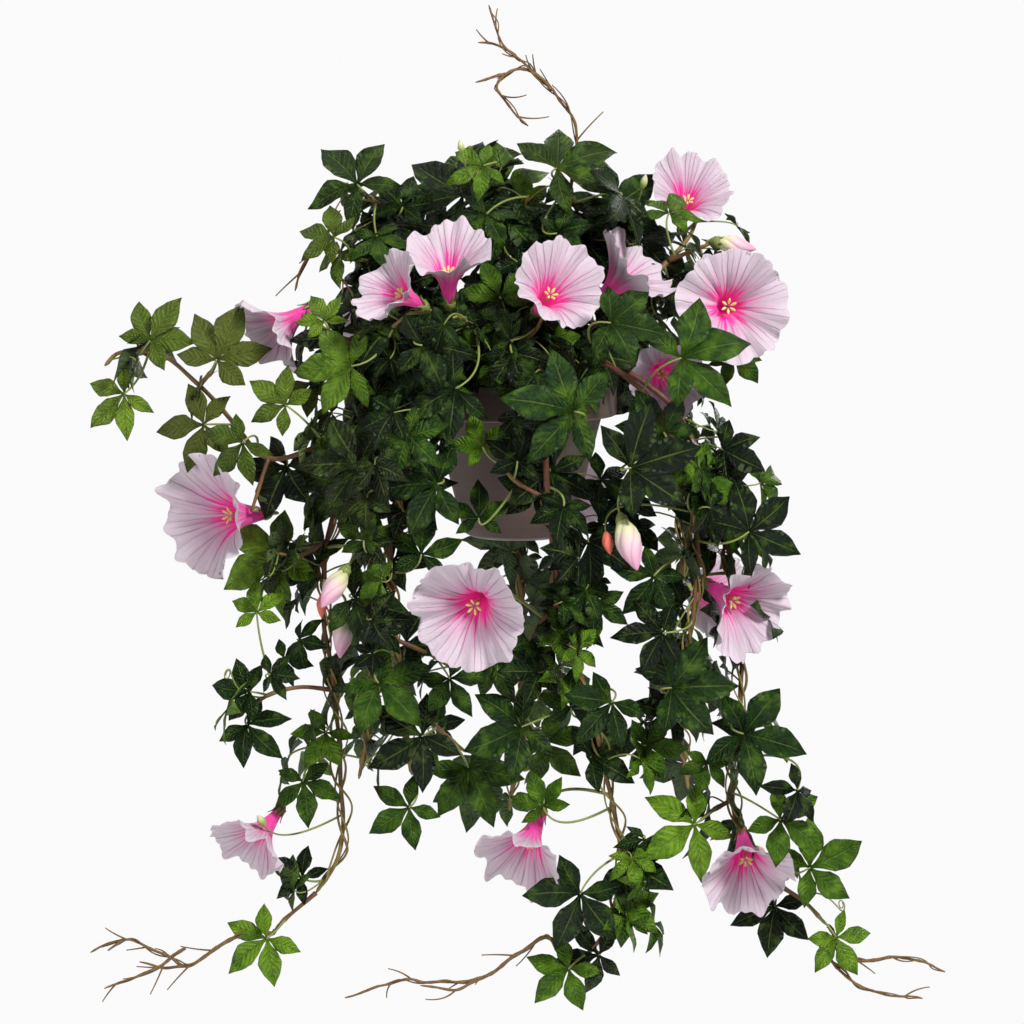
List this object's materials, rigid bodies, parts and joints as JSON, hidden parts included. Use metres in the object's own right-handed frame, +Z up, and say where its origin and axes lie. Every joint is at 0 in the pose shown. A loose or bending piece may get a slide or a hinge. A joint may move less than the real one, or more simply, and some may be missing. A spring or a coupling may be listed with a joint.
{
  "type": "trailing petunia bush in a hanging pot",
  "caption": "Trailing petunia bush with funnel blooms, buds and hand-shaped leaves hanging all round a small tapered plastic pot with a deep rim band.",
  "frame": {"origin": "centre of the pot's flat base, where a hanger's cradle carries it", "axes": "+Z up along the pot's axis, -Y the front of the bush, +X to its right seen from the front"},
  "size_m": [0.6384, 0.3909, 0.7392],
  "materials": {
    "pot": "moulded taupe-brown plastic with a soft sheen",
    "filler": "dark brown foam plug, rough",
    "leaf": "printed leaf cloth on moulded green stems, faint sheen",
    "petal": "pale pink cloth with mauve veins and a magenta throat",
    "stamen": "cream yellow moulded plastic",
    "bud": "furled pale pink cloth, green at the foot",
    "twig": "dark brown, rough as bark"
  },
  "bodies": {
    "root": {"pot": "pot", "filler": "filler", "top_left": "leaf", "top_mid": "leaf", "top_right": "leaf", "right_up": "leaf", "left_arm": "leaf", "left_up": "leaf", "front_mid": "leaf", "front_left": "leaf", "left_trail": "leaf", "centre_trail": "leaf", "right_front": "leaf", "right_trail": "leaf", "back_left": "leaf", "back_mid": "leaf", "back_right": "leaf", "bloom_01": "petal", "bloom_02": "petal", "bloom_03": "petal", "bloom_04": "petal", "bloom_05": "petal", "bloom_06": "petal", "bloom_07": "petal", "bloom_08": "petal", "bloom_09": "petal", "bloom_10": "petal", "bloom_11": "petal", "bloom_12": "petal", "bloom_13": "petal", "bloom_14": "petal", "bloom_15": "petal", "bloom_16": "petal", "bloom_17": "petal", "stamens_01": "stamen", "stamens_02": "stamen", "stamens_03": "stamen", "stamens_04": "stamen", "stamens_05": "stamen", "stamens_06": "stamen", "stamens_07": "stamen", "stamens_08": "stamen", "stamens_09": "stamen", "stamens_10": "stamen", "stamens_11": "stamen", "stamens_12": "stamen", "stamens_13": "stamen", "stamens_14": "stamen", "stamens_15": "stamen", "stamens_16": "stamen", "stamens_17": "stamen", "bud_1": "bud", "bud_2": "bud", "bud_3": "bud", "bud_4": "bud", "top_twigs": "twig", "left_loop_twigs": "twig", "lower_left_twigs": "twig", "lower_centre_twigs": "twig", "lower_right_twigs": "twig"}
  },
  "joints": []
}
